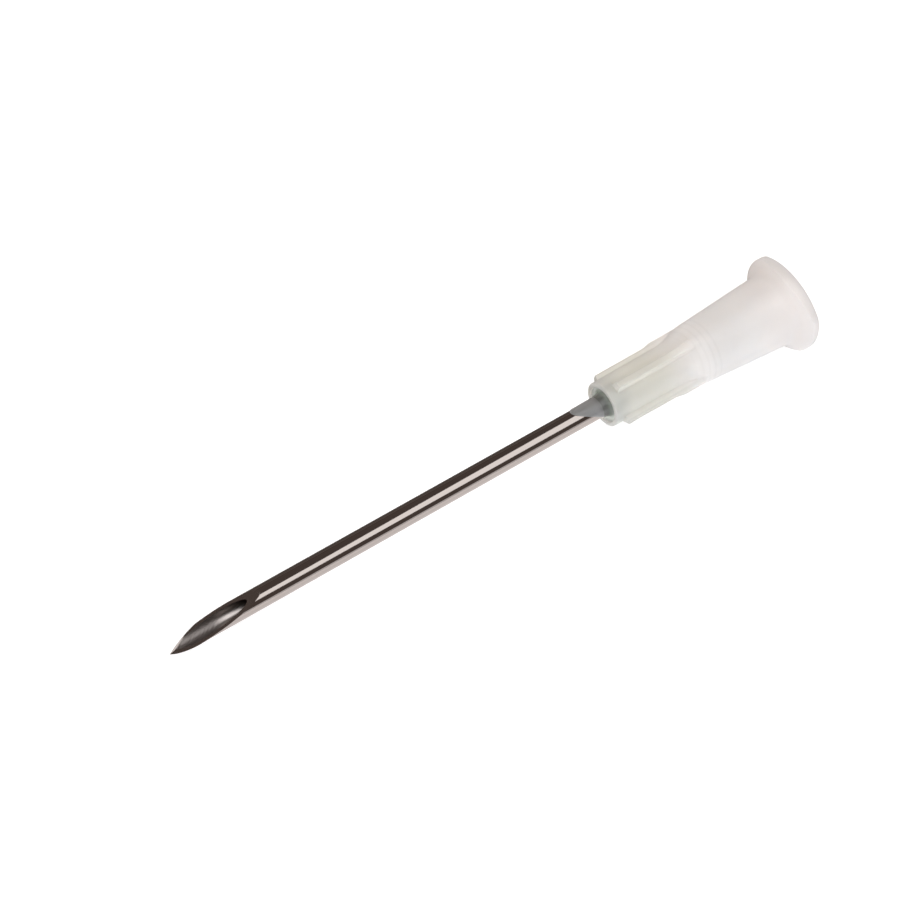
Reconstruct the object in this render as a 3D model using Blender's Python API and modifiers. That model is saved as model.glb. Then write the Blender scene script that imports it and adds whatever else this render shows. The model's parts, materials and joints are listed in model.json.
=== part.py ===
# Hypodermic needle, 16 gauge by 38 mm, on a moulded hub
#
# A drawn steel cannula with a lancet point is bonded with cured resin into the nose of a one-piece
# polypropylene hub. The hub has four ribs for turning it, a conical socket of 6 percent taper that
# pushes on to a syringe, and a flange whose two lugs screw into a locking collar.
#
# Each piece is turned standing up: its origin is the middle of the hub's rear face, its axis is +Z
# and its point is up. The needle then lies on its side as it comes to rest, on the rim of the flange
# and on its point, with the bevel facing up. Lengths are in metres.

import math

import bmesh
import bpy
import numpy as np
from mathutils import Matrix, Vector

MM = 0.001

# Cannula: 16 gauge regular wall tube
TUBE_OUTER = 1.651 * MM          # outside diameter
TUBE_WALL = 0.229 * MM
EXPOSED = 38.0 * MM              # from the hub's nose to the point
HELD = 7.4 * MM                  # length inside the hub
BEVEL_ANGLE = math.radians(11.6)     # main bevel, to the tube's axis
BEVEL_LENGTH = 7.5 * MM          # from the heel to the point, along the axis
LANCET_ANGLE = math.radians(21.0)    # the two side grinds, to the tube's axis
LANCET_TURN = math.radians(35.0)     # how far the tube is turned each way for a side grind
BEVEL_CLOCK = math.radians(10.0)     # turn of the bevel from the middle of the flange's long side
TUBE_END_CHAMFER = 0.04 * MM
TUBE_SIDES = 64

# Hub: nose
HUB_LENGTH = 18.1 * MM
NOSE_RADIUS = 1.83 * MM          # at the front face
NOSE_DRAFT = math.radians(0.45)
NOSE_EDGE = 0.10 * MM            # round at the front face
NOSE_LENGTH = 6.5 * MM           # straight part, from the front face
WELL_MOUTH = 1.50 * MM           # radius of the glue well at the front face
WELL_DEPTH = 0.85 * MM           # to where the well starts to narrow
WELL_FUNNEL = 1.0 * MM           # length of the narrowing part
WELL_DRAFT = math.radians(3.0)

# Hub: body
SHOULDER_LENGTH = 2.5 * MM       # from the nose to the cone
CONE_RADIUS = 2.47 * MM          # where the cone starts
CONE_ANGLE = math.radians(3.9)   # half angle

# Hub: flange
LUG_RADIUS = 4.0 * MM
LUG_THICKNESS = 0.50 * MM        # at the rim, along the axis
LUG_FRONT_EDGE = 0.10 * MM
LUG_REAR_EDGE = 0.08 * MM
FLARE_ANGLE = math.radians(45.0)     # front of the flange, to the axis
FLARE_FILLET = 1.40 * MM
SIDE_MIDDLE = 3.42 * MM          # from the axis to the middle of a long side
SIDE_OFFSET = 1.60 * MM          # the long side's arc is struck from this far past the axis

# Hub: socket and bore
SOCKET_MOUTH = 2.15 * MM         # radius at the rear face
SOCKET_TAPER = 0.06              # on the diameter
SOCKET_DEPTH = 8.4 * MM
SOCKET_CHAMFER = 0.10 * MM
STEP_COUNT = 5                   # ledges between the socket and the bore
STEP_RISE = 0.52 * MM
BORE_CLEARANCE = 0.030 * MM      # round the tube

# Hub: ribs
RIB_COUNT = 4
RIB_START = 0.74 * MM            # foot of a rib's front end, from the front face
RIB_RAKE = 0.20 * MM             # how much its crest starts further back
RIB_CREST = 2.28 * MM            # crest radius at the front
RIB_DRAFT = math.radians(0.5)
RIB_STEP_START = 5.4 * MM        # where the crest starts to rise to the cone
RIB_STEP_LENGTH = 1.0 * MM
RIB_REACH = 9.3 * MM             # end of a rib inside the cone's wall, from the front face
RIB_WIDTH = 0.56 * MM            # at the crest
RIB_SIDE_DRAFT = math.radians(7.0)
RIB_EDGE = 0.05 * MM
RIB_BURIED = 0.12 * MM           # how far a rib's root runs into the nose
RIB_BURIED_REAR = 0.30 * MM      # and into the cone

# Resin bead
BEAD_CLEARANCE = 0.020 * MM      # to the well and to the tube
BEAD_FOOT = 0.12 * MM            # the bead ends this far above the bottom of the well
BEAD_SINK = 0.16 * MM            # its rim lies this far below the front face
BEAD_DIP = 0.30 * MM             # its lowest ring lies this far below the front face
BEAD_DIP_PLACE = 0.52            # where that ring lies, from the tube (0) to the rim (1)
BEAD_CLIMB = 0.45 * MM           # it climbs the tube this far in front of the front face
FILM_REACH = 2.85 * MM           # a film of it runs on along the tube, this far at most
FILM_LEAST = 0.30 * MM           # and this far at least
FILM_FOOT = 0.050 * MM           # thickness of the film where it leaves the bead
FILM_EDGE = 0.030 * MM           # and at its end
FILM_SLANT = math.radians(63.0)  # slope of the film's end
FILM_CLOCK = math.radians(27.0)  # side on which it reaches furthest

HUB_STEPS = 72
BEAD_STEPS = 48

TUBE_RADIUS = TUBE_OUTER / 2
BORE_RADIUS = TUBE_RADIUS + BORE_CLEARANCE
FRONT = HUB_LENGTH                   # height of the hub's front face
POINT = HUB_LENGTH + EXPOSED         # height of the cannula's point


# Scene

for old in list(bpy.data.objects):
    bpy.data.objects.remove(old, do_unlink=True)

needle = bpy.data.collections.new("hypodermic_needle")
bpy.context.scene.collection.children.link(needle)
cutters = bpy.data.collections.new("cutters")
bpy.context.scene.collection.children.link(cutters)


def material(name, color, metallic, roughness, ior=1.5, transmission=0.0):
    made = bpy.data.materials.new(name)
    made.use_nodes = True
    shader = made.node_tree.nodes["Principled BSDF"]
    shader.inputs["Base Color"].default_value = (*color, 1.0)
    shader.inputs["Metallic"].default_value = metallic
    shader.inputs["Roughness"].default_value = roughness
    shader.inputs["IOR"].default_value = ior
    shader.inputs["Transmission Weight"].default_value = transmission
    made.diffuse_color = (*color, 1.0)
    return made


# Shapes

def arc(centre, radius, start, end, count):
    """Points on a circle, from one angle to another, both ends included."""
    angles = np.linspace(start, end, count)
    return [(centre[0] + radius * math.cos(a), centre[1] + radius * math.sin(a)) for a in angles]


def fillet(before, corner, after, radius, count):
    """Points of the arc that rounds a corner between two straight lines of a profile."""
    into = (Vector(before) - Vector(corner)).normalized()
    out = (Vector(after) - Vector(corner)).normalized()
    half = into.angle(out) / 2
    centre = Vector(corner) + (into + out).normalized() * (radius / math.sin(half))
    first = Vector(corner) + into * (radius / math.tan(half)) - centre
    last = Vector(corner) + out * (radius / math.tan(half)) - centre
    turn = first.angle_signed(last)
    start = math.atan2(first.y, first.x)
    return arc(centre, radius, start, start - turn, count)


def turned(name, profile, steps, start=0.0):
    """A closed profile of (radius, height) points, turned about Z. Its outer side runs downwards."""
    mesh = bpy.data.meshes.new(name)
    points = [(r * math.cos(start), r * math.sin(start), z) for r, z in profile]
    count = len(points)
    mesh.from_pydata(points, [(i, (i + 1) % count) for i in range(count)], [])
    body = bpy.data.objects.new(name, mesh)
    screw = body.modifiers.new("turn", 'SCREW')
    screw.axis = 'Z'
    screw.angle = 2 * math.pi
    screw.steps = steps
    screw.render_steps = steps
    screw.use_merge_vertices = True
    screw.merge_threshold = 0.000001
    screw.use_smooth_shade = True
    needle.objects.link(body)
    return body


def cut(body, tool, operation):
    """Adds a Boolean to a body. The tool stays in the cutters' collection."""
    tool.hide_render = True
    tool.display_type = 'WIRE'
    cutters.objects.link(tool)
    boolean = body.modifiers.new(tool.name, 'BOOLEAN')
    boolean.operation = operation
    boolean.solver = 'EXACT'
    boolean.object = tool


# Cannula

def make_cannula():
    """The tube, ground to a lancet point: one long bevel and two side grinds that meet at the point."""
    inner = TUBE_RADIUS - TUBE_WALL
    bottom = FRONT - HELD
    spare = 0.5 * MM
    chamfer = TUBE_END_CHAMFER
    profile = [
        (inner, POINT + spare),
        (TUBE_RADIUS, POINT + spare),
        (TUBE_RADIUS, bottom + chamfer),
        (TUBE_RADIUS - chamfer, bottom),
        (inner + chamfer, bottom),
        (inner, bottom + chamfer),
    ]
    # The flat between two facets lies at the back of the bevel, so that the point is one clean corner
    tube = turned("cannula", profile, TUBE_SIDES, BEVEL_CLOCK + math.pi / TUBE_SIDES)

    heel = (TUBE_RADIUS, POINT - BEVEL_LENGTH)
    point = (-TUBE_RADIUS * math.cos(LANCET_TURN), POINT)
    grinds = [
        ("bevel_grind", BEVEL_CLOCK, BEVEL_ANGLE, heel),
        ("lancet_grind_left", BEVEL_CLOCK + LANCET_TURN, LANCET_ANGLE, point),
        ("lancet_grind_right", BEVEL_CLOCK - LANCET_TURN, LANCET_ANGLE, point),
    ]
    for name, clock, angle, through in grinds:
        cut(tube, grinding_block(name, clock, angle, through), 'DIFFERENCE')
    return tube


def grinding_block(name, clock, angle, through):
    """A block whose inner face is the ground plane. It leans towards the point by the grind's angle."""
    reach = 4 * BEVEL_LENGTH
    work = bmesh.new()
    bmesh.ops.create_cube(work, size=1.0)
    bmesh.ops.scale(work, vec=(reach, 4 * TUBE_OUTER, reach), verts=work.verts)
    bmesh.ops.translate(work, vec=(reach / 2, 0, 0), verts=work.verts)
    mesh = bpy.data.meshes.new(name)
    work.to_mesh(mesh)
    work.free()
    block = bpy.data.objects.new(name, mesh)
    place = Matrix.Translation((through[0], 0, through[1]))
    block.matrix_world = Matrix.Rotation(clock, 4, 'Z') @ place @ Matrix.Rotation(-angle, 4, 'Y')
    return block


# Hub

def nose_radius(depth):
    """Radius of the nose at a depth behind the front face."""
    return NOSE_RADIUS + depth * math.tan(NOSE_DRAFT)


def cone_radius(depth):
    """Radius of the cone at a depth behind the front face."""
    return CONE_RADIUS + (depth - NOSE_LENGTH - SHOULDER_LENGTH) * math.tan(CONE_ANGLE)


def hub_outer():
    """The hub's outer side, from the front face down to the rear face."""
    points = arc((NOSE_RADIUS - NOSE_EDGE, FRONT - NOSE_EDGE), NOSE_EDGE, math.pi / 2, 0, 5)

    # The shoulder eases out of the nose and into the cone
    low = nose_radius(NOSE_LENGTH)
    high = cone_radius(NOSE_LENGTH + SHOULDER_LENGTH)
    for share in np.linspace(0, 1, 10):
        swell = share * share * (3 - 2 * share)
        points.append((low + (high - low) * swell, FRONT - NOSE_LENGTH - SHOULDER_LENGTH * share))

    # The flare leaves the cone at the height that brings it to the lug's front edge
    lug_top = (LUG_RADIUS, LUG_THICKNESS)
    run = math.tan(FLARE_ANGLE)
    gap = LUG_RADIUS - cone_radius(FRONT - LUG_THICKNESS)
    foot_height = LUG_THICKNESS + gap / (run + math.tan(CONE_ANGLE))
    foot = (cone_radius(FRONT - foot_height), foot_height)
    points += fillet(points[-1], foot, lug_top, FLARE_FILLET, 6)
    points += fillet(foot, lug_top, (LUG_RADIUS, 0), LUG_FRONT_EDGE, 4)
    points += fillet(lug_top, (LUG_RADIUS, 0), (0, 0), LUG_REAR_EDGE, 4)
    return points


def hub_inner():
    """The hub's inside, from the rear face up to the front face."""
    slope = SOCKET_TAPER / 2
    points = [(SOCKET_MOUTH + SOCKET_CHAMFER, 0), (SOCKET_MOUTH, SOCKET_CHAMFER)]

    # Ledges lead from the end of the socket to the bore
    radius = SOCKET_MOUTH - SOCKET_DEPTH * slope
    height = SOCKET_DEPTH
    step = (radius - BORE_RADIUS) / (STEP_COUNT + 1)
    for _ in range(STEP_COUNT + 1):
        points.append((radius, height))
        radius -= step
        points.append((radius, height))
        height += STEP_RISE

    # The glue well narrows to the bore
    throat = WELL_MOUTH - WELL_DEPTH * math.tan(WELL_DRAFT)
    points.append((BORE_RADIUS, FRONT - WELL_DEPTH - WELL_FUNNEL))
    points.append((throat, FRONT - WELL_DEPTH))
    points.append((WELL_MOUTH, FRONT))
    return points


def rib(index):
    """One rib: its side outline, extruded across, with draft on its sides and a broken crest edge."""
    front_depth = RIB_START + RIB_RAKE
    step_depth = RIB_STEP_START + RIB_STEP_LENGTH
    cone_depth = NOSE_LENGTH + SHOULDER_LENGTH
    top = cone_radius(cone_depth) - RIB_EDGE / 2
    crest = [
        (RIB_CREST, front_depth),
        (RIB_CREST + (RIB_STEP_START - front_depth) * math.tan(RIB_DRAFT), RIB_STEP_START),
        (top, step_depth),
        (top, RIB_REACH),
    ]
    root = [
        (cone_radius(RIB_REACH) - RIB_BURIED_REAR, RIB_REACH),
        (cone_radius(cone_depth) - RIB_BURIED_REAR, cone_depth),
        (nose_radius(NOSE_LENGTH) - RIB_BURIED, NOSE_LENGTH),
        (NOSE_RADIUS - RIB_BURIED, RIB_START),
    ]
    work = bmesh.new()
    half = RIB_WIDTH / 2
    outline = [work.verts.new((r, -half, FRONT - d)) for r, d in crest + root]
    side = work.faces.new(outline)
    grown = bmesh.ops.extrude_face_region(work, geom=[side])
    moved = [g for g in grown["geom"] if isinstance(g, bmesh.types.BMVert)]
    bmesh.ops.translate(work, vec=(0, RIB_WIDTH, 0), verts=moved)
    for vert in work.verts:
        below = max(0.0, RIB_CREST - vert.co.x)
        vert.co.y += math.copysign(below * math.tan(RIB_SIDE_DRAFT), vert.co.y)
    bmesh.ops.recalc_face_normals(work, faces=work.faces)
    lowest = RIB_CREST - RIB_EDGE
    crest_edges = [e for e in work.edges
                   if all(v.co.x > lowest for v in e.verts)
                   and e.verts[0].co.y * e.verts[1].co.y > 0]
    bmesh.ops.bevel(work, geom=crest_edges, offset=RIB_EDGE, segments=1, profile=0.5,
                    affect='EDGES', material=-1)
    name = "rib_%d" % (index + 1)
    mesh = bpy.data.meshes.new(name)
    work.to_mesh(mesh)
    work.free()
    made = bpy.data.objects.new(name, mesh)
    made.rotation_euler = (0, 0, 2 * math.pi * index / RIB_COUNT)
    return made


def side_former(index):
    """A wide cylinder, struck from past the axis, that gives one long side of the flange its wall."""
    bottom = -LUG_THICKNESS
    top = HUB_LENGTH + LUG_THICKNESS
    radius = SIDE_MIDDLE + SIDE_OFFSET
    work = bmesh.new()
    bmesh.ops.create_cone(work, cap_ends=True, segments=2 * HUB_STEPS, depth=top - bottom,
                          radius1=radius, radius2=radius)
    bmesh.ops.translate(work, vec=(-SIDE_OFFSET, 0, (top + bottom) / 2), verts=work.verts)
    name = "side_former_%d" % (index + 1)
    mesh = bpy.data.meshes.new(name)
    work.to_mesh(mesh)
    work.free()
    made = bpy.data.objects.new(name, mesh)
    made.rotation_euler = (0, 0, math.pi * index)
    return made


def make_hub():
    """The moulding: a turned body, ribs on its nose and cone, and a flange with two long sides."""
    hub = turned("hub", hub_outer() + hub_inner(), HUB_STEPS, math.pi / HUB_STEPS)
    for index in range(RIB_COUNT):
        cut(hub, rib(index), 'UNION')
    for index in range(2):
        cut(hub, side_former(index), 'INTERSECT')
    return hub


# Resin bead

def make_bead():
    """The cured resin that fills the glue well, climbs the tube and runs on along it as a film."""
    gap = BEAD_CLEARANCE
    inner = TUBE_RADIUS + gap
    drop = (WELL_FUNNEL - BEAD_FOOT) / WELL_FUNNEL
    throat = WELL_MOUTH - WELL_DEPTH * math.tan(WELL_DRAFT)
    foot_radius = throat - (throat - BORE_RADIUS) * drop
    rim = WELL_MOUTH - BEAD_SINK * math.tan(WELL_DRAFT) - gap

    # The surface sags between the rim and the tube: a quarter wave down, then a steep climb
    top = inner + FILM_FOOT
    dip = inner + (rim - inner) * BEAD_DIP_PLACE
    surface = []
    for share in np.linspace(0, 1, 7):
        climb = (1 - share) ** 3
        surface.append((top + (dip - top) * share, FRONT - BEAD_DIP + (BEAD_DIP + BEAD_CLIMB) * climb))
    for share in np.linspace(0, 1, 4)[1:]:
        rise = share * share
        surface.append((dip + (rim - dip) * share, FRONT - BEAD_DIP + (BEAD_DIP - BEAD_SINK) * rise))
    profile = [(inner, FRONT + FILM_REACH), (inner + FILM_EDGE, FRONT + FILM_REACH)] + surface + [
        (throat - gap, FRONT - WELL_DEPTH),
        (foot_radius - gap, FRONT - WELL_DEPTH - WELL_FUNNEL * drop),
        (inner, FRONT - WELL_DEPTH - WELL_FUNNEL * drop),
    ]
    bead = turned("adhesive_bead", profile, BEAD_STEPS)
    cut(bead, film_trim(), 'DIFFERENCE')
    return bead


def film_trim():
    """A block, stood on one edge, that takes the film away above its slanting end."""
    size = 2 * FILM_REACH
    across = TUBE_RADIUS + BEAD_CLEARANCE + FILM_EDGE
    edge = across - (FILM_REACH - FILM_LEAST) / math.tan(FILM_SLANT)
    work = bmesh.new()
    bmesh.ops.create_cube(work, size=size)
    bmesh.ops.translate(work, vec=(-size / 2, 0, size / 2), verts=work.verts)
    mesh = bpy.data.meshes.new("film_trim")
    work.to_mesh(mesh)
    work.free()
    block = bpy.data.objects.new("film_trim", mesh)
    place = Matrix.Translation((edge, 0, FRONT + FILM_LEAST))
    block.matrix_world = Matrix.Rotation(FILM_CLOCK, 4, 'Z') @ place @ Matrix.Rotation(
        math.pi / 2 - FILM_SLANT, 4, 'Y')
    return block


# Rest

def world_points(bodies):
    """Every corner of the finished bodies, in world space."""
    bpy.context.view_layer.update()
    graph = bpy.context.evaluated_depsgraph_get()
    found = []
    for body in bodies:
        solid = body.evaluated_get(graph)
        mesh = solid.to_mesh()
        found += [solid.matrix_world @ v.co for v in mesh.vertices]
        solid.to_mesh_clear()
    return np.array(found)


def resting_line(points):
    """The two corners of the lower outline, seen from the side, that the needle lies on."""
    order = points[np.lexsort((points[:, 2], points[:, 0]))]
    lower = []
    for p in order:
        while len(lower) > 1:
            a, b = lower[-2], lower[-1]
            turn = (b[0] - a[0]) * (p[2] - a[2]) - (b[2] - a[2]) * (p[0] - a[0])
            if turn > 0:
                break
            lower.pop()
        lower.append(p)
    spans = [(b[0] - a[0], a, b) for a, b in zip(lower, lower[1:])]
    _, left, right = max(spans, key=lambda span: span[0])
    return left, right


def lay_down(bodies):
    """Lays the needle on the floor, its point towards -X and its bevel up, centred over the origin."""
    rest = bpy.data.objects.new("rest", None)
    needle.objects.link(rest)
    for piece in bodies + list(cutters.objects):
        piece.parent = rest
    # The pieces stand with the point up and the bevel towards +X, which becomes -X and +Z
    upright = Matrix.Rotation(-math.pi / 2, 4, 'Y')
    rest.matrix_world = upright
    left, right = resting_line(world_points(bodies))
    tilt = math.atan2(left[2] - right[2], right[0] - left[0])
    rest.matrix_world = Matrix.Rotation(-tilt, 4, 'Y') @ upright
    points = world_points(bodies)
    low, high = points.min(axis=0), points.max(axis=0)
    shift = Matrix.Translation((-(low[0] + high[0]) / 2, -(low[1] + high[1]) / 2, -low[2]))
    rest.matrix_world = shift @ rest.matrix_world


steel = material("drawn_stainless_steel", (0.62, 0.61, 0.60), 1.0, 0.16)
polypropylene = material("natural_polypropylene", (0.86, 0.86, 0.83), 0.0, 0.38, 1.49, 0.15)
resin = material("cured_resin", (0.72, 0.77, 0.72), 0.0, 0.08, 1.52, 0.75)

cannula = make_cannula()
hub = make_hub()
bead = make_bead()
for body, surface in ((cannula, steel), (hub, polypropylene), (bead, resin)):
    body.data.materials.append(surface)
lay_down([cannula, hub, bead])
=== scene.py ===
# Looks of a 16 gauge hypodermic needle that lies on its side, with its bevel up
#
# The object has three pieces: a drawn steel cannula, a moulded polypropylene hub, and the cured
# resin that bonds one into the other. Each is modelled standing on the hub's rear face with its
# point up, in metres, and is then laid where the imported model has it.

import json
import math

import bmesh
import bpy
from mathutils import Matrix, Vector


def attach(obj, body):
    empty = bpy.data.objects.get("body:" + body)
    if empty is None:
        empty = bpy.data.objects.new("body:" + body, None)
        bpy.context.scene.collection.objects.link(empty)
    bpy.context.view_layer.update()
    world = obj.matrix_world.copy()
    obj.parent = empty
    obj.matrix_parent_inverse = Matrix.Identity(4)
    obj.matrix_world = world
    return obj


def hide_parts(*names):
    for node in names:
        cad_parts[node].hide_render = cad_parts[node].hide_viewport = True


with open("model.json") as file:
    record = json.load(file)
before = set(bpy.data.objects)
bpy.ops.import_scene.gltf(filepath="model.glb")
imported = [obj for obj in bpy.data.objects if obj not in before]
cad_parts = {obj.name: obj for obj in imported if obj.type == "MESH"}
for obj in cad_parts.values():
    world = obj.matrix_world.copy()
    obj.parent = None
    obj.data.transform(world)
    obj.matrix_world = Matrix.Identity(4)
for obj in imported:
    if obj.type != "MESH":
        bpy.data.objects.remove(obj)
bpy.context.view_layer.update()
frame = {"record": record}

MM = 0.001


# Camera
#
# The photograph looks down at the needle from the point's side, with a long lens at about 17 cm.
# The camera leans, because the needle seems to have lain rolled on the rim of its flange.

CAMERA_AZIMUTH = math.radians(-52.55)
CAMERA_ELEVATION = math.radians(59.26)
CAMERA_ROLL = math.radians(20.18)
CAMERA_DISTANCE = 168.9 * MM
CAMERA_TARGET = Vector((-2.442, 1.592, 2.612)) * MM
CAMERA_LENS = 90.2
SENSOR_WIDTH = 36.0

camera_back = Vector((
    math.sin(CAMERA_AZIMUTH) * math.cos(CAMERA_ELEVATION),
    -math.cos(CAMERA_AZIMUTH) * math.cos(CAMERA_ELEVATION),
    math.sin(CAMERA_ELEVATION),
))
camera_data = bpy.data.cameras.new("camera")
camera_data.lens = CAMERA_LENS
camera_data.sensor_width = SENSOR_WIDTH
camera_data.clip_start = 0.01
camera_data.clip_end = 10.0
camera = bpy.data.objects.new("camera", camera_data)
camera.matrix_world = (
    Matrix.Translation(CAMERA_TARGET + camera_back * CAMERA_DISTANCE)
    @ (-camera_back).to_track_quat('-Z', 'Y').to_matrix().to_4x4()
    @ Matrix.Rotation(CAMERA_ROLL, 4, 'Z')
)
bpy.context.scene.collection.objects.link(camera)
bpy.context.scene.camera = camera
bpy.context.scene.view_settings.view_transform = 'Standard'


# Cannula
#
# A seamless tube of stainless steel, drawn and electropolished, so its outside is a bright mirror
# with faint lines along it. The point is ground: one long bevel, and two short side grinds.

TUBE_RADIUS = 1.651 * MM / 2
TUBE_BORE = TUBE_RADIUS - 0.229 * MM
TUBE_FOOT = 10.7 * MM            # height of the tube's inner end above the hub's rear face
TUBE_TIP = 56.1 * MM
TUBE_SPARE = 1.0 * MM            # length that the grinding takes off
TUBE_CHAMFER = 0.04 * MM
TUBE_STEPS = 160
TUBE_CREASE = math.radians(20)   # edges that turn more than this stay sharp
DRAWN, GROUND, BORED = range(3)  # the tube's three finishes, as its mesh lists them
DRAW_LINES = 9.0 / MM            # 9 of them in a millimetre, and so on
WHEEL_MARKS = 14.0 / MM
BORE_LINES = 7.0 / MM
SCRATCHES = 9.0 / MM
SCRATCH_SLANT = math.radians(38)
SCRATCH_RELIEF = 0.06 * MM       # depth that the bump gives them
FINE_RELIEF = 0.01 * MM          # of the lines and marks, and of the hub's grain
BEVEL_LENGTH = 7.5 * MM
BEVEL_ANGLE = math.radians(11.6)
BEVEL_CLOCK = math.radians(10.0)
LANCET_ANGLE = math.radians(21.0)
LANCET_TURN = math.radians(35.0)

# The hub's rear face gives the needle's place: its outward direction runs along the axis
rear_face = frame["record"]["mounts"][0]
along = Vector(rear_face["axis"]).normalized()
side = Vector((0, 1, 0))
above = side.cross(-along).normalized()
rear_centre = Vector((rear_face["pos_m"][0], 0, rear_face["pos_m"][2]))
laid = Matrix.Translation(rear_centre) @ Matrix((above, side, -along)).transposed().to_4x4()


def linear(code):
    """An sRGB hex colour as linear values."""
    values = [int(code[i:i + 2], 16) / 255 for i in (1, 3, 5)]
    return tuple(v / 12.92 if v <= 0.04045 else ((v + 0.055) / 1.055) ** 2.4 for v in values) + (1.0,)


def add_node(tree, kind, settings=None, inputs=None):
    """A node with its settings. An input is a value or another node's output."""
    node = tree.nodes.new(kind)
    for name, value in (settings or {}).items():
        setattr(node, name, value)
    for name, value in (inputs or {}).items():
        if isinstance(value, bpy.types.NodeSocket):
            tree.links.new(value, node.inputs[name])
        else:
            node.inputs[name].default_value = value
    return node


def empty_material(name):
    """A new material, and its node tree, which is empty."""
    made = bpy.data.materials.new(name)
    made.use_nodes = True
    made.node_tree.nodes.clear()
    return made, made.node_tree


def needle_space(tree):
    """Object coordinates turned so that Z runs up the needle from the hub's rear face."""
    where = add_node(tree, "ShaderNodeTexCoord")
    back = laid.inverted()
    return add_node(tree, "ShaderNodeMapping", {"vector_type": 'POINT'}, {
        "Vector": where.outputs["Object"],
        "Rotation": tuple(back.to_euler()),
        "Location": tuple(back.translation),
    }).outputs["Vector"]


def drawn_steel():
    """Drawn stainless tube, electropolished: a sharp mirror, with faint draw lines along its length."""
    made, tree = empty_material("drawn_stainless_steel")
    # Draw lines are some 10 micrometres wide: too fine to show, so they are drawn at 0.1 mm
    stretch = add_node(tree, "ShaderNodeMapping", {}, {
        "Vector": needle_space(tree), "Scale": (1.0, 1.0, 0.01)})
    lines = add_node(tree, "ShaderNodeTexNoise", {}, {
        "Vector": stretch.outputs[0], "Scale": DRAW_LINES, "Detail": 3.0, "Roughness": 0.6})
    rough = add_node(tree, "ShaderNodeMapRange", {}, {
        "Value": lines.outputs["Fac"], "From Min": 0.3, "From Max": 0.7, "To Min": 0.05, "To Max": 0.12})
    bump = add_node(tree, "ShaderNodeBump", {}, {
        "Height": lines.outputs["Fac"], "Strength": 0.03, "Distance": FINE_RELIEF})
    shader = add_node(tree, "ShaderNodeBsdfPrincipled", {}, {
        "Base Color": linear("#A79E9A"), "Metallic": 1.0,
        "Roughness": rough.outputs[0], "Normal": bump.outputs[0]})
    add_node(tree, "ShaderNodeOutputMaterial", {}, {"Surface": shader.outputs[0]})
    return made


def ground_steel():
    """The ground bevels: flat and satin, with fine wheel marks across them."""
    made, tree = empty_material("ground_stainless_steel")
    # Wheel marks run across the bevel, so they are short along the needle and long across it
    stretch = add_node(tree, "ShaderNodeMapping", {}, {
        "Vector": needle_space(tree), "Scale": (0.03, 0.03, 1.0)})
    marks = add_node(tree, "ShaderNodeTexNoise", {}, {
        "Vector": stretch.outputs[0], "Scale": WHEEL_MARKS, "Detail": 3.0, "Roughness": 0.65})
    bump = add_node(tree, "ShaderNodeBump", {}, {
        "Height": marks.outputs["Fac"], "Strength": 0.08, "Distance": FINE_RELIEF})
    shader = add_node(tree, "ShaderNodeBsdfPrincipled", {}, {
        "Base Color": linear("#A8A09C"), "Metallic": 1.0, "Roughness": 0.2, "Normal": bump.outputs[0]})
    add_node(tree, "ShaderNodeOutputMaterial", {}, {"Surface": shader.outputs[0]})
    return made


def bore_steel():
    """The bore as it was drawn: duller than the outside, with draw lines along it."""
    made, tree = empty_material("drawn_bore_steel")
    space = needle_space(tree)
    stretch = add_node(tree, "ShaderNodeMapping", {}, {"Vector": space, "Scale": (1.0, 1.0, 0.04)})
    lines = add_node(tree, "ShaderNodeTexNoise", {}, {
        "Vector": stretch.outputs[0], "Scale": BORE_LINES, "Detail": 4.0, "Roughness": 0.7})
    bump = add_node(tree, "ShaderNodeBump", {}, {
        "Height": lines.outputs["Fac"], "Strength": 0.15, "Distance": FINE_RELIEF})
    # The point was blasted clean of burrs, so the bore near it is rougher, with short slanting scratches
    height = add_node(tree, "ShaderNodeSeparateXYZ", {}, {"Vector": space}).outputs["Z"]
    blasted = add_node(tree, "ShaderNodeMapRange", {"interpolation_type": 'SMOOTHSTEP'}, {
        "Value": height, "From Min": TUBE_TIP - 5.0 * MM, "From Max": TUBE_TIP - 3.4 * MM})
    slant = add_node(tree, "ShaderNodeMapping", {"vector_type": 'TEXTURE'}, {
        "Vector": space, "Rotation": (SCRATCH_SLANT, 0, 0), "Scale": (1.0, 1.0, 14.0)})
    scratches = add_node(tree, "ShaderNodeTexNoise", {}, {
        "Vector": slant.outputs[0], "Scale": SCRATCHES, "Detail": 2.0, "Roughness": 0.6})
    depth = add_node(tree, "ShaderNodeMath", {"operation": 'MULTIPLY'}, {0: blasted.outputs[0], 1: 0.7})
    scratched = add_node(tree, "ShaderNodeBump", {}, {
        "Height": scratches.outputs["Fac"], "Strength": depth.outputs[0],
        "Distance": SCRATCH_RELIEF, "Normal": bump.outputs[0]})
    rough = add_node(tree, "ShaderNodeMapRange", {}, {
        "Value": blasted.outputs[0], "To Min": 0.34, "To Max": 0.50})
    tone = add_node(tree, "ShaderNodeMix", {"data_type": 'RGBA'}, {
        "Factor": blasted.outputs[0], "A": linear("#BCB4B1"), "B": linear("#8C8583")})
    shader = add_node(tree, "ShaderNodeBsdfPrincipled", {}, {
        "Base Color": tone.outputs["Result"], "Metallic": 1.0,
        "Roughness": rough.outputs[0], "Normal": scratched.outputs[0]})
    add_node(tree, "ShaderNodeOutputMaterial", {}, {"Surface": shader.outputs[0]})
    return made


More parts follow.
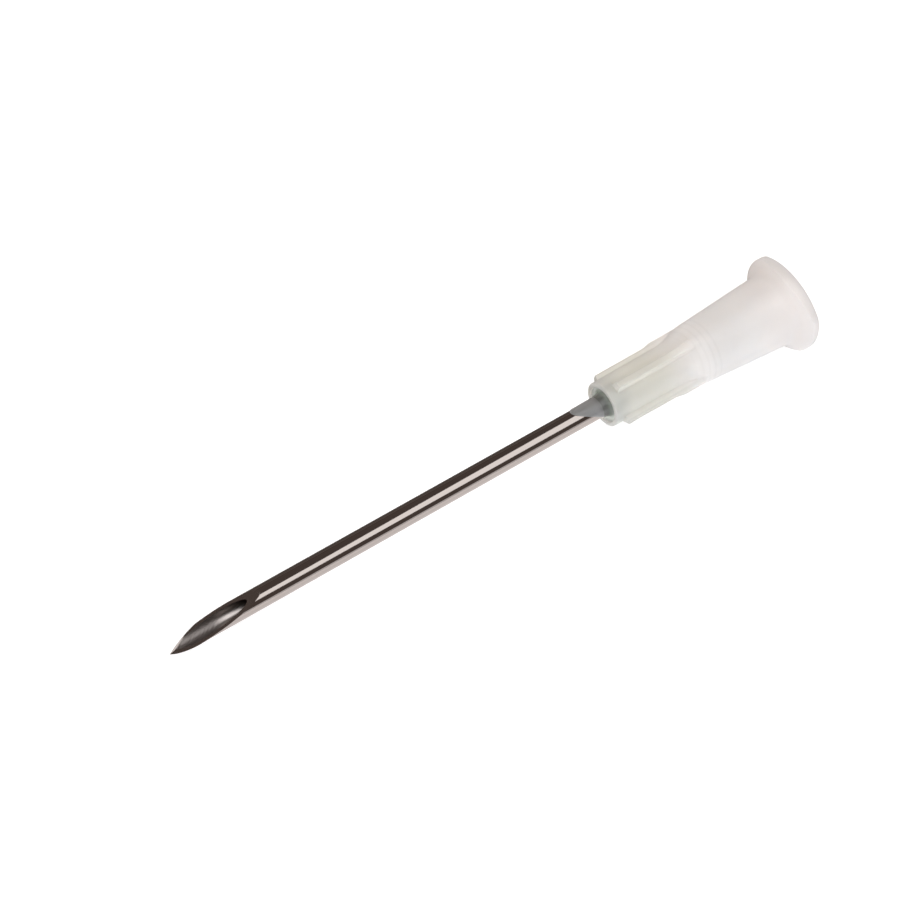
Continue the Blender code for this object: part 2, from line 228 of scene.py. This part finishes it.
def spun(profile, steps, start=0.0):
    """A bmesh of a closed profile of (radius, height) points, spun about Z."""
    work = bmesh.new()
    points = [work.verts.new((r * math.cos(start), r * math.sin(start), z)) for r, z in profile]
    edges = [work.edges.new(pair) for pair in zip(points, points[1:] + points[:1])]
    bmesh.ops.spin(work, geom=points + edges, cent=(0, 0, 0), axis=(0, 0, 1),
                   angle=2 * math.pi, steps=steps, use_merge=True, use_duplicate=False)
    bmesh.ops.remove_doubles(work, verts=work.verts, dist=1e-8)
    bmesh.ops.recalc_face_normals(work, faces=work.faces)
    return work


def grind(work, clock, angle, through):
    """Cuts off what lies above a ground plane, and closes the cut with faces of the ground finish."""
    outward = Vector((math.cos(angle), 0, math.sin(angle)))
    turn = Matrix.Rotation(clock, 4, 'Z')
    bmesh.ops.bisect_plane(
        work, geom=work.verts[:] + work.edges[:] + work.faces[:], dist=1e-9,
        plane_co=turn @ Vector((through[0], 0, through[1])), plane_no=turn.to_3x3() @ outward,
        clear_outer=True)
    rim = [e for e in work.edges if e.is_boundary]
    filled = bmesh.ops.triangle_fill(work, use_beauty=True, use_dissolve=False, edges=rim)
    for face in filled["geom"]:
        if isinstance(face, bmesh.types.BMFace):
            face.material_index = GROUND
            face.smooth = False


def as_object(work, name, materials, crease):
    """Lays a standing bmesh down in its place, and makes it an object with its materials."""
    bmesh.ops.transform(work, matrix=laid, verts=work.verts)
    mesh = bpy.data.meshes.new(name)
    work.to_mesh(mesh)
    work.free()
    mesh.shade_smooth()
    mesh.set_sharp_from_angle(angle=crease)
    for made in materials:
        mesh.materials.append(made)
    piece = bpy.data.objects.new(name, mesh)
    bpy.context.scene.collection.objects.link(piece)
    return piece


tube = spun([
    (TUBE_BORE, TUBE_TIP + TUBE_SPARE),
    (TUBE_RADIUS, TUBE_TIP + TUBE_SPARE),
    (TUBE_RADIUS, TUBE_FOOT + TUBE_CHAMFER),
    (TUBE_RADIUS - TUBE_CHAMFER, TUBE_FOOT),
    (TUBE_BORE + TUBE_CHAMFER, TUBE_FOOT),
    (TUBE_BORE, TUBE_FOOT + TUBE_CHAMFER),
], TUBE_STEPS, BEVEL_CLOCK + math.pi / TUBE_STEPS)
between = (TUBE_RADIUS + TUBE_BORE) / 2
for face in tube.faces:
    middle = face.calc_center_median()
    face.material_index = BORED if math.hypot(middle.x, middle.y) < between else DRAWN
grind(tube, BEVEL_CLOCK, BEVEL_ANGLE, (TUBE_RADIUS, TUBE_TIP - BEVEL_LENGTH))
for turn in (LANCET_TURN, -LANCET_TURN):
    grind(tube, BEVEL_CLOCK + turn, LANCET_ANGLE, (-TUBE_RADIUS * math.cos(LANCET_TURN), TUBE_TIP))
cannula = as_object(tube, "cannula_tube", [drawn_steel(), ground_steel(), bore_steel()], TUBE_CREASE)
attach(cannula, "root")
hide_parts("cannula")


# Hub
#
# One moulding of natural polypropylene, milky and a little translucent. Four ribs run from the nose
# to the cone. The flange flares out to a thin rim, and its two long sides are cut in, which leaves
# two lugs.

HUB_LENGTH = 18.1 * MM
NOSE_RADIUS = 1.83 * MM
NOSE_DRAFT = math.radians(0.45)
NOSE_EDGE = 0.10 * MM
NOSE_LENGTH = 6.5 * MM
SHOULDER_LENGTH = 2.5 * MM
CONE_RADIUS = 2.47 * MM
CONE_ANGLE = math.radians(3.9)
WELL_MOUTH = 1.50 * MM
WELL_DEPTH = 0.85 * MM
WELL_FUNNEL = 1.0 * MM
WELL_DRAFT = math.radians(3.0)
WELL_THROAT = WELL_MOUTH - WELL_DEPTH * math.tan(WELL_DRAFT)
LUG_RADIUS = 4.0 * MM
LUG_THICKNESS = 0.50 * MM        # at the rim
LUG_FRONT_EDGE = 0.10 * MM
LUG_REAR_EDGE = 0.08 * MM
FLARE_ANGLE = math.radians(45.0)
FLARE_FILLET = 1.40 * MM
SIDE_MIDDLE = 3.42 * MM          # from the axis to the middle of a long side
SIDE_OFFSET = 1.60 * MM
SOCKET_MOUTH = 2.15 * MM
SOCKET_TAPER = 0.06
SOCKET_DEPTH = 8.4 * MM
SOCKET_CHAMFER = 0.10 * MM
STEP_COUNT = 5
STEP_RISE = 0.52 * MM
BORE_RADIUS = TUBE_RADIUS + 0.030 * MM
HUB_STEPS = 160
HUB_CREASE = math.radians(32)
HUB_GRAIN = 9.0 / MM             # 9 grains in a millimetre
HUB_CLOUDS = 0.4 / MM            # clouds in the plastic, some 2.5 mm wide
EDGE_POINTS = 6
FILLET_POINTS = 14
SHOULDER_ROWS = 16
CUTTER_SPARE = 1.0 * MM
CUTTER_STEPS = 360
RIB_COUNT = 4
RIB_COLUMNS = 11                 # columns of the turned mesh that one rib's root is wide
RIB_START = 0.74 * MM
RIB_NEXT_ROW = 0.20 * MM         # the mesh has its next row this far behind their start
RIB_RAKE = 0.196 * MM            # and a crest starts just short of that row
RIB_CREST = 2.28 * MM
RIB_DRAFT = math.radians(0.5)
RIB_STEP_START = 5.4 * MM
RIB_STEP_LENGTH = 1.0 * MM
RIB_STEP_ROWS = 4
RIB_END = 8.9 * MM
RIB_TAIL = 0.2 * MM              # what is pulled out runs on this far past their end
RIB_HALF_WIDTH = 0.28 * MM
RIB_ROUND = 0.055 * MM           # round of its long edges, at the crest and at the root
RIB_ROUND_END = 7.9 * MM         # the rounds stop here, where the rib runs out
HAIR = 0.001 * MM                # a length too small to show


def ease(share):
    """Goes from 0 to 1 with no slope at either end."""
    share = min(max(share, 0.0), 1.0)
    return share * share * (3 - 2 * share)


def body_radius(depth):
    """Radius of the nose, the shoulder or the cone, at a depth behind the front face."""
    nose = NOSE_RADIUS + min(depth, NOSE_LENGTH) * math.tan(NOSE_DRAFT)
    cone = CONE_RADIUS + max(depth - NOSE_LENGTH - SHOULDER_LENGTH, 0) * math.tan(CONE_ANGLE)
    return nose + (cone - nose) * ease((depth - NOSE_LENGTH) / SHOULDER_LENGTH)


def crest_radius(depth):
    """Radius of a rib's crest. It steps up to the cone and runs out in it."""
    low = RIB_CREST + (depth - RIB_START) * math.tan(RIB_DRAFT)
    step = ease((depth - RIB_STEP_START) / RIB_STEP_LENGTH)
    return max(low + (CONE_RADIUS - low) * step, body_radius(depth))


def corner_arc(before, corner, after, radius, count):
    """Points of the arc that rounds a corner of a profile."""
    into = (Vector(before) - Vector(corner)).normalized()
    out = (Vector(after) - Vector(corner)).normalized()
    half = into.angle(out) / 2
    centre = Vector(corner) + (into + out).normalized() * (radius / math.sin(half))
    first = Vector(corner) + into * (radius / math.tan(half)) - centre
    last = Vector(corner) + out * (radius / math.tan(half)) - centre
    start = math.atan2(first.y, first.x)
    sweep = -first.angle_signed(last)
    return [(centre.x + radius * math.cos(start + sweep * i / (count - 1)),
             centre.y + radius * math.sin(start + sweep * i / (count - 1))) for i in range(count)]


def hub_profile():
    """The hub's section: down its outer side, and back up through the socket and the glue well."""
    front = (NOSE_RADIUS, HUB_LENGTH)
    points = corner_arc((0, HUB_LENGTH), front, (NOSE_RADIUS, 0), NOSE_EDGE, EDGE_POINTS)
    # Rows of the mesh on the nose, the shoulder and the cone, as depths behind the front face
    depths = [RIB_START, RIB_START + RIB_NEXT_ROW, 2.0 * MM, 3.2 * MM, 4.4 * MM, RIB_STEP_START]
    depths += [RIB_STEP_START + RIB_STEP_LENGTH * i / RIB_STEP_ROWS for i in range(1, RIB_STEP_ROWS + 1)]
    depths += [NOSE_LENGTH + SHOULDER_LENGTH * i / SHOULDER_ROWS for i in range(1, SHOULDER_ROWS + 1)]
    depths += [10.5 * MM, 12.5 * MM, 14.5 * MM]
    points += [(body_radius(d), HUB_LENGTH - d) for d in depths]
    lug = (LUG_RADIUS, LUG_THICKNESS)
    gap = LUG_RADIUS - body_radius(HUB_LENGTH - LUG_THICKNESS)
    foot_height = LUG_THICKNESS + gap / (math.tan(FLARE_ANGLE) + math.tan(CONE_ANGLE))
    foot = (body_radius(HUB_LENGTH - foot_height), foot_height)
    points += corner_arc(points[-1], foot, lug, FLARE_FILLET, FILLET_POINTS)
    points += corner_arc(foot, lug, (LUG_RADIUS, 0), LUG_FRONT_EDGE, EDGE_POINTS)
    points += corner_arc(lug, (LUG_RADIUS, 0), (0, 0), LUG_REAR_EDGE, EDGE_POINTS)

    points += [(SOCKET_MOUTH + SOCKET_CHAMFER, 0), (SOCKET_MOUTH, SOCKET_CHAMFER)]
    radius = SOCKET_MOUTH - SOCKET_DEPTH * SOCKET_TAPER / 2
    height = SOCKET_DEPTH
    step = (radius - BORE_RADIUS) / (STEP_COUNT + 1)
    for _ in range(STEP_COUNT + 1):
        points.append((radius, height))
        radius -= step
        points.append((radius, height))
        height += STEP_RISE
    points.append((BORE_RADIUS, HUB_LENGTH - WELL_DEPTH - WELL_FUNNEL))
    points.append((WELL_THROAT, HUB_LENGTH - WELL_DEPTH))
    points.append((WELL_MOUTH, HUB_LENGTH))
    return points


def raise_ribs(work):
    """Pulls the four ribs out of the turned body, and rounds their long edges."""
    flanks = set()
    column = 2 * math.pi / HUB_STEPS
    half_angle = column * RIB_COLUMNS / 2
    top = HUB_LENGTH - RIB_START + HAIR
    bottom = HUB_LENGTH - RIB_END - RIB_TAIL
    for index in range(RIB_COUNT):
        heading = 2 * math.pi * index / RIB_COUNT
        toward = Vector((math.cos(heading), math.sin(heading), 0))
        across = Vector((-toward.y, toward.x, 0))
        chosen = []
        for face in work.faces:
            middle = face.calc_center_median()
            turn = math.atan2(middle.dot(across), middle.dot(toward))
            inside = bottom < middle.z < top and abs(turn) < half_angle
            if inside and face.normal.dot(toward) > 0.5:
                chosen.append(face)
        grown = bmesh.ops.extrude_face_region(work, geom=chosen)
        crest_faces = [g for g in grown["geom"] if isinstance(g, bmesh.types.BMFace)]
        crest_verts = [g for g in grown["geom"] if isinstance(g, bmesh.types.BMVert)]
        bmesh.ops.delete(work, geom=chosen, context='FACES')
        for vert in crest_verts:
            depth = HUB_LENGTH - vert.co.z
            if depth > RIB_END:
                continue
            turn = math.atan2(vert.co.dot(across), vert.co.dot(toward)) / half_angle
            over = turn * RIB_HALF_WIDTH
            radius = crest_radius(depth)
            flat = math.sqrt(max(radius * radius - over * over, 0))
            sink = RIB_RAKE if depth < RIB_START + HAIR else 0.0
            vert.co = toward * flat + across * over + Vector((0, 0, vert.co.z - sink))
        crest = set(crest_faces)
        flanks.update(f for v in crest_verts for f in v.link_faces if f not in crest)
    # The edges of the flanks that run along the needle
    long_edges = [e for e in work.edges if any(f in flanks for f in e.link_faces)
                  and abs(e.verts[0].co.z - e.verts[1].co.z) > 0.9 * e.calc_length()
                  and all(RIB_START < HUB_LENGTH - v.co.z + HAIR < RIB_ROUND_END for v in e.verts)]
    bmesh.ops.bevel(work, geom=long_edges, offset=RIB_ROUND, segments=3, profile=0.5,
                    affect='EDGES', clamp_overlap=True, material=-1)
    bmesh.ops.remove_doubles(work, verts=work.verts, dist=2 * HAIR)
    bmesh.ops.dissolve_degenerate(work, edges=work.edges, dist=HAIR)


def side_cutter(index):
    """The wide cylinder that gives one long side of the flange its wall."""
    low, high = -CUTTER_SPARE, HUB_LENGTH + CUTTER_SPARE
    radius = SIDE_MIDDLE + SIDE_OFFSET
    work = bmesh.new()
    bmesh.ops.create_cone(work, cap_ends=True, segments=CUTTER_STEPS, depth=high - low,
                          radius1=radius, radius2=radius)
    bmesh.ops.translate(work, vec=(-SIDE_OFFSET, 0, (high + low) / 2), verts=work.verts)
    bmesh.ops.rotate(work, cent=(0, 0, 0), verts=work.verts,
                     matrix=Matrix.Rotation(math.pi * index, 3, 'Z'))
    mesh = bpy.data.meshes.new("side_cutter")
    work.to_mesh(mesh)
    work.free()
    cutter = bpy.data.objects.new("side_cutter", mesh)
    bpy.context.scene.collection.objects.link(cutter)
    return cutter


def cut_sides(work):
    """Shapes the flange's long sides, and gives back the finished bmesh."""
    mesh = bpy.data.meshes.new("hub_blank")
    work.to_mesh(mesh)
    work.free()
    blank = bpy.data.objects.new("hub_blank", mesh)
    bpy.context.scene.collection.objects.link(blank)
    cutters = [side_cutter(0), side_cutter(1)]
    for cutter in cutters:
        boolean = blank.modifiers.new("side", 'BOOLEAN')
        boolean.operation = 'INTERSECT'
        boolean.solver = 'EXACT'
        boolean.object = cutter
    shaped = bmesh.new()
    shaped.from_object(blank, bpy.context.evaluated_depsgraph_get())
    for spent in [blank] + cutters:
        bpy.data.objects.remove(spent, do_unlink=True)
    return shaped


def height_and_radius(tree, space):
    """The height above the hub's rear face, and the distance from the needle's axis."""
    height = add_node(tree, "ShaderNodeSeparateXYZ", {}, {"Vector": space})
    flat = add_node(tree, "ShaderNodeVectorMath", {"operation": 'MULTIPLY'}, {0: space, 1: (1, 1, 0)})
    radius = add_node(tree, "ShaderNodeVectorMath", {"operation": 'LENGTH'}, {0: flat.outputs[0]})
    return height.outputs["Z"], radius.outputs["Value"]


def painted_ledge_shade(tree, height):
    """Painted shade of the ledges between the socket and the bore: faint darker rings on the cone where
    they lie inside it.
    """
    top_ledge = SOCKET_DEPTH + STEP_COUNT * STEP_RISE
    phase = add_node(tree, "ShaderNodeMapRange", {"clamp": False}, {
        "Value": height, "From Min": SOCKET_DEPTH, "From Max": SOCKET_DEPTH + STEP_RISE,
        "To Min": 0.0, "To Max": 2 * math.pi})
    wave = add_node(tree, "ShaderNodeMath", {"operation": 'SINE', "use_clamp": True}, {0: phase.outputs[0]})
    near_socket = add_node(tree, "ShaderNodeMapRange", {}, {
        "Value": height, "From Min": SOCKET_DEPTH - 0.3 * MM, "From Max": SOCKET_DEPTH + 0.1 * MM,
        "To Min": 0.0, "To Max": 0.4})
    near_bore = add_node(tree, "ShaderNodeMapRange", {}, {
        "Value": height, "From Min": top_ledge - 1.2 * MM, "From Max": top_ledge,
        "To Min": 1.0, "To Max": 0.0})
    window = add_node(tree, "ShaderNodeMath", {"operation": 'MULTIPLY'}, {
        0: near_socket.outputs[0], 1: near_bore.outputs[0]})
    rings = add_node(tree, "ShaderNodeMath", {"operation": 'MULTIPLY'}, {
        0: wave.outputs[0], 1: window.outputs[0]})
    return rings.outputs[0]


def milky_polypropylene():
    """Natural polypropylene: milky, with light that spreads inside it. The nose has painted shade, a
    grey-green that stands in for the steel and the resin inside it. The ribs' crests there get more painted
    shade."""
    made, tree = empty_material("natural_polypropylene")
    space = needle_space(tree)
    height, radius = height_and_radius(tree, space)
    # Where the nose is: it carries painted shade, and a little more clearness
    nose = add_node(tree, "ShaderNodeMapRange", {"interpolation_type": 'SMOOTHSTEP'}, {
        "Value": height, "From Min": HUB_LENGTH - 9.0 * MM, "From Max": HUB_LENGTH - 4.0 * MM})
    rear = add_node(tree, "ShaderNodeMapRange", {"interpolation_type": 'SMOOTHSTEP'}, {
        "Value": height, "From Min": 6.0 * MM, "From Max": 1.2 * MM})
    # Painted shade on the ribs' crests in the nose, against the light that their thin ribs gather
    outer = add_node(tree, "ShaderNodeMapRange", {"interpolation_type": 'SMOOTHSTEP'}, {
        "Value": radius, "From Min": RIB_CREST - 0.16 * MM, "From Max": RIB_CREST - 0.04 * MM})
    crest = add_node(tree, "ShaderNodeMath", {"operation": 'MULTIPLY'}, {
        0: nose.outputs[0], 1: outer.outputs[0]})
    cone = add_node(tree, "ShaderNodeMix", {"data_type": 'RGBA'}, {
        "Factor": rear.outputs[0], "A": linear("#FCF5F1"), "B": linear("#ECE6E3")})
    # Painted shade: faint darker rings where the socket's ledges lie inside the cone
    ledge_shaded = add_node(tree, "ShaderNodeMix", {"data_type": 'RGBA'}, {
        "Factor": painted_ledge_shade(tree, height), "A": cone.outputs["Result"], "B": linear("#EEE7E3")})
    # Painted shade: the nose is painted grey-green for the dark steel and the resin seen through its wall
    nose_painted_shade = add_node(tree, "ShaderNodeMix", {"data_type": 'RGBA'}, {
        "Factor": nose.outputs[0], "A": ledge_shaded.outputs["Result"], "B": linear("#E5E3D9")})
    # Painted shade: the ribs' crests are painted greyer than the nose beside them
    tone = add_node(tree, "ShaderNodeMix", {"data_type": 'RGBA'}, {
        "Factor": crest.outputs[0], "A": nose_painted_shade.outputs["Result"], "B": linear("#D4D2C9")})
    clouds = add_node(tree, "ShaderNodeTexNoise", {}, {
        "Vector": space, "Scale": HUB_CLOUDS, "Detail": 2.0, "Roughness": 0.5})
    rough = add_node(tree, "ShaderNodeMapRange", {}, {
        "Value": clouds.outputs["Fac"], "From Min": 0.3, "From Max": 0.7, "To Min": 0.37, "To Max": 0.44})
    grain = add_node(tree, "ShaderNodeTexNoise", {}, {
        "Vector": space, "Scale": HUB_GRAIN, "Detail": 2.0, "Roughness": 0.5})
    bump = add_node(tree, "ShaderNodeBump", {}, {
        "Height": grain.outputs["Fac"], "Strength": 0.05, "Distance": FINE_RELIEF})
    clear = add_node(tree, "ShaderNodeMapRange", {}, {
        "Value": nose.outputs[0], "To Min": 0.35, "To Max": 0.40})
    shader = add_node(tree, "ShaderNodeBsdfPrincipled", {}, {
        "Base Color": tone.outputs["Result"], "Roughness": rough.outputs[0], "IOR": 1.49,
        "Normal": bump.outputs[0], "Transmission Weight": clear.outputs[0],
        "Subsurface Weight": 1.0, "Subsurface Radius": (1.0, 0.95, 0.9), "Subsurface Scale": 2.5 * MM})
    add_node(tree, "ShaderNodeOutputMaterial", {}, {"Surface": shader.outputs[0]})
    return made


hub_work = spun(hub_profile(), HUB_STEPS, math.pi / HUB_STEPS)
raise_ribs(hub_work)
hub_work = cut_sides(hub_work)
hub = as_object(hub_work, "hub_moulding", [milky_polypropylene()], HUB_CREASE)
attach(hub, "root")
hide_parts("hub")


# Resin bead
#
# A drop of resin, cured by light in the glue well. It is clear and glossy, wets the steel and
# climbs it, so that its surface dips between the tube and the rim of the nose.

BEAD_CLEARANCE = 0.020 * MM
BEAD_FOOT = 0.12 * MM
BEAD_SINK = 0.16 * MM
BEAD_DIP = 0.30 * MM
BEAD_DIP_PLACE = 0.52            # where the dip lies, from the tube (0) to the rim (1)
BEAD_CLIMB = 0.45 * MM
FILM_REACH = 2.88 * MM           # a film of the resin runs on along the tube, this far at most
FILM_LEAST = 0.20 * MM           # and this far at least
FILM_FOOT = 0.050 * MM           # its thickness where it leaves the bead
FILM_EDGE = 0.025 * MM           # and at its end
FILM_CLOCK = math.radians(27.0)
FILM_NARROWING = 1.5             # the higher, the narrower the film grows towards its end
FILM_CLIMB_SHARE = 0.8           # where the film is short, the climb takes this share of it
FILM_ROWS = 10
CLIMB_ROWS = 12
RIM_ROWS = 7
BEAD_STEPS = 128
BEAD_CREASE = math.radians(35)


def clear_resin():
    """Cured resin: clear with a green cast in the well, with painted shade, near black, round the tube. It
    is very smooth there, and its thin film on the tube is satin and grey."""
    made, tree = empty_material("cured_resin")
    height, radius = height_and_radius(tree, needle_space(tree))
    # Painted shade: the well's resin is painted near black beside the tube, lightening towards the rim
    away = add_node(tree, "ShaderNodeMapRange", {"interpolation_type": 'SMOOTHSTEP'}, {
        "Value": radius, "From Min": TUBE_RADIUS, "From Max": WELL_MOUTH * 0.9})
    film = add_node(tree, "ShaderNodeMapRange", {"interpolation_type": 'SMOOTHSTEP'}, {
        "Value": height, "From Min": HUB_LENGTH - 0.10 * MM, "From Max": HUB_LENGTH + 1.00 * MM})
    well = add_node(tree, "ShaderNodeMix", {"data_type": 'RGBA'}, {
        "Factor": away.outputs[0], "A": linear("#2A2C26"), "B": linear("#F0F7ED")})
    tone = add_node(tree, "ShaderNodeMix", {"data_type": 'RGBA'}, {
        "Factor": film.outputs[0], "A": well.outputs["Result"], "B": linear("#878787")})
    rough = add_node(tree, "ShaderNodeMapRange", {}, {
        "Value": film.outputs[0], "To Min": 0.08, "To Max": 0.42})
    shader = add_node(tree, "ShaderNodeBsdfPrincipled", {}, {
        "Base Color": tone.outputs["Result"], "Roughness": rough.outputs[0], "IOR": 1.51,
        "Transmission Weight": 0.08, "Subsurface Weight": 1.0,
        "Subsurface Radius": (1.0, 1.0, 0.95), "Subsurface Scale": 0.15 * MM})
    add_node(tree, "ShaderNodeOutputMaterial", {}, {"Surface": shader.outputs[0]})
    return made


def bead_profile():
    """The bead's section: down its surface from the film's end to the rim, and back under it."""
    inner = TUBE_RADIUS + BEAD_CLEARANCE
    drop = (WELL_FUNNEL - BEAD_FOOT) / WELL_FUNNEL
    foot_radius = WELL_THROAT - (WELL_THROAT - BORE_RADIUS) * drop
    rim = WELL_MOUTH - BEAD_SINK * math.tan(WELL_DRAFT) - BEAD_CLEARANCE
    dip = inner + (rim - inner) * BEAD_DIP_PLACE
    surface = []
    for i in range(FILM_ROWS):
        share = i / FILM_ROWS
        surface.append((inner + FILM_EDGE + (FILM_FOOT - FILM_EDGE) * share,
                        HUB_LENGTH + FILM_REACH - (FILM_REACH - BEAD_CLIMB) * share))
    for i in range(CLIMB_ROWS + 1):
        share = i / CLIMB_ROWS
        climb = (1 - share) ** 3
        surface.append((inner + FILM_FOOT + (dip - inner - FILM_FOOT) * share,
                        HUB_LENGTH - BEAD_DIP + (BEAD_DIP + BEAD_CLIMB) * climb))
    for i in range(1, RIM_ROWS + 1):
        share = i / RIM_ROWS
        surface.append((dip + (rim - dip) * share,
                        HUB_LENGTH - BEAD_DIP + (BEAD_DIP - BEAD_SINK) * share * share))
    return [(inner, surface[0][1])] + surface + [
        (WELL_THROAT - BEAD_CLEARANCE, HUB_LENGTH - WELL_DEPTH),
        (foot_radius - BEAD_CLEARANCE, HUB_LENGTH - WELL_DEPTH - WELL_FUNNEL * drop),
        (inner, HUB_LENGTH - WELL_DEPTH - WELL_FUNNEL * drop),
    ]


def slant_film(work):
    """Draws the film back round the tube, so that its end slants from one side to the other."""
    for vert in work.verts:
        height = vert.co.z - HUB_LENGTH
        if height <= 0:
            continue
        turn = math.atan2(vert.co.y, vert.co.x) - FILM_CLOCK
        reach = FILM_LEAST + (FILM_REACH - FILM_LEAST) * ((1 + math.cos(turn)) / 2) ** FILM_NARROWING
        foot = min(BEAD_CLIMB, FILM_CLIMB_SHARE * reach)
        along_film = (height - BEAD_CLIMB) / (FILM_REACH - BEAD_CLIMB)
        if along_film > 0:
            vert.co.z = HUB_LENGTH + foot + (reach - foot) * along_film
        else:
            vert.co.z = HUB_LENGTH + foot * height / BEAD_CLIMB


bead_work = spun(bead_profile(), BEAD_STEPS)
slant_film(bead_work)
bead = as_object(bead_work, "resin_bead", [clear_resin()], BEAD_CREASE)
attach(bead, "root")
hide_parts("adhesive_bead")


# Studio
#
# A white table under a wide dim room. A softbox overhead and two fills light what is matt. The
# steel mirrors one large reflector as the bright stripe along it, and the dim room beside that.

FLOOR_SIZE = 3.0
TABLE_LIFT = 0.46                # strength of the table's own light, where 1 is white
BACKDROP_TOP = 0.22              # sine of the height that the backdrop reaches up to
ROOM_START = 0.26                # and of the height from which the room is dim
SOFT_LEVEL = 0.50                # light of the room on what is matt, where 1 is white
CARD_SIZE = 0.30
CARD_EDGE = (0, 1.0 * MM, 0.1 * MM)
CARD_LEAN = math.radians(22)

floor_work = bmesh.new()
bmesh.ops.create_grid(floor_work, x_segments=1, y_segments=1, size=FLOOR_SIZE / 2)
floor_mesh = bpy.data.meshes.new("floor")
floor_work.to_mesh(floor_mesh)
floor_work.free()
floor = bpy.data.objects.new("floor", floor_mesh)
bpy.context.scene.collection.objects.link(floor)


def white_table():
    """Matt white. The camera, metal and glass also see a little light of its own in it, so that it
    comes out white and keeps its shadows."""
    made, tree = empty_material("white_table")
    path = add_node(tree, "ShaderNodeLightPath")
    mirrored = add_node(tree, "ShaderNodeMath", {"operation": 'MAXIMUM'}, {
        0: path.outputs["Is Glossy Ray"], 1: path.outputs["Is Transmission Ray"]})
    seen = add_node(tree, "ShaderNodeMath", {"operation": 'MAXIMUM'}, {
        0: path.outputs["Is Camera Ray"], 1: mirrored.outputs[0]})
    gain = add_node(tree, "ShaderNodeMath", {"operation": 'MULTIPLY'}, {
        0: seen.outputs[0], 1: TABLE_LIFT})
    matt = add_node(tree, "ShaderNodeBsdfDiffuse", {}, {"Color": linear("#EDEDED")})
    lift = add_node(tree, "ShaderNodeEmission", {}, {
        "Color": linear("#FFFFFF"), "Strength": gain.outputs[0]})
    both = add_node(tree, "ShaderNodeAddShader", {}, {0: matt.outputs[0], 1: lift.outputs[0]})
    add_node(tree, "ShaderNodeOutputMaterial", {}, {"Surface": both.outputs[0]})
    return made


floor_mesh.materials.append(white_table())

# The room: a low white backdrop all round, and dim above it. Matt surfaces get a plain soft level.
world = bpy.data.worlds.new("room")
bpy.context.scene.world = world
world.use_nodes = True
room = world.node_tree
room.nodes.clear()
direction = add_node(room, "ShaderNodeTexCoord")
up = add_node(room, "ShaderNodeSeparateXYZ", {}, {"Vector": direction.outputs["Generated"]})
over_backdrop = add_node(room, "ShaderNodeMapRange", {}, {
    "Value": up.outputs["Z"], "From Min": BACKDROP_TOP, "From Max": ROOM_START})
backdrop = add_node(room, "ShaderNodeBackground", {}, {"Color": linear("#FFFFFF"), "Strength": 1.0})
dim = add_node(room, "ShaderNodeBackground", {}, {"Color": linear("#655B56"), "Strength": 1.0})
surroundings = add_node(room, "ShaderNodeMixShader", {}, {
    "Fac": over_backdrop.outputs[0], 1: backdrop.outputs[0], 2: dim.outputs[0]})
soft = add_node(room, "ShaderNodeBackground", {}, {"Color": linear("#FFFFFF"), "Strength": SOFT_LEVEL})
ray = add_node(room, "ShaderNodeLightPath")
chosen = add_node(room, "ShaderNodeMixShader", {}, {
    "Fac": ray.outputs["Is Diffuse Ray"], 1: surroundings.outputs[0], 2: soft.outputs[0]})
add_node(room, "ShaderNodeOutputWorld", {}, {"Surface": chosen.outputs[0]})


def lamp(name, place, size, radiance, colour, diffuse=True, glossy=True):
    """A rectangular softbox that faces the needle. Its brightness is that of a surface, so 1 is white."""
    data = bpy.data.lights.new(name, 'AREA')
    data.shape = 'RECTANGLE'
    data.size, data.size_y = size
    data.energy = radiance * math.pi * size[0] * size[1]
    data.color = linear(colour)[:3]
    box = bpy.data.objects.new(name, data)
    z_axis = Vector(place).normalized()
    x_axis = (along - z_axis * along.dot(z_axis)).normalized()
    box.matrix_world = (Matrix.Translation(place)
                        @ Matrix((x_axis, z_axis.cross(x_axis), z_axis)).transposed().to_4x4())
    box.visible_diffuse = diffuse
    box.visible_glossy = glossy
    bpy.context.scene.collection.objects.link(box)


# The softbox and the fills light what is matt and aren't mirrored. The reflector is only mirrored.
lamp("softbox", (0.05, -0.06, 0.30), (0.45, 0.21), 1.2, "#FFF6EF", glossy=False)
lamp("reflector", (0.113, -0.032, 0.30), (0.45, 0.31), 1.74, "#FCFFFF", diffuse=False)
lamp("low_fill", (-0.22, -0.36, 0.08), (0.60, 0.35), 3.5, "#F4F8FF", glossy=False)
lamp("far_fill", (-0.05, 0.40, 0.16), (0.60, 0.35), 1.8, "#FFF6F1", glossy=False)

# A dark card leans away from the tube's far side. Only the steel sees it, along its upper edge.
card_work = bmesh.new()
bmesh.ops.create_grid(card_work, x_segments=1, y_segments=1, size=CARD_SIZE / 2)
bmesh.ops.transform(card_work, verts=card_work.verts, matrix=(
    Matrix.Translation(CARD_EDGE) @ Matrix.Rotation(CARD_LEAN, 4, 'X')
    @ Matrix.Translation((0, CARD_SIZE / 2, 0))))
card_mesh = bpy.data.meshes.new("dark_card")
card_work.to_mesh(card_mesh)
card_work.free()
card_paper, card_tree = empty_material("dark_card")
card_shader = add_node(card_tree, "ShaderNodeBsdfPrincipled", {}, {
    "Base Color": linear("#000000"), "Emission Color": linear("#5F5651"), "Emission Strength": 1.0})
add_node(card_tree, "ShaderNodeOutputMaterial", {}, {"Surface": card_shader.outputs[0]})
card_mesh.materials.append(card_paper)
card = bpy.data.objects.new("dark_card", card_mesh)
card.visible_camera = False
card.visible_diffuse = False
card.visible_shadow = False
card.visible_transmission = False
bpy.context.scene.collection.objects.link(card)
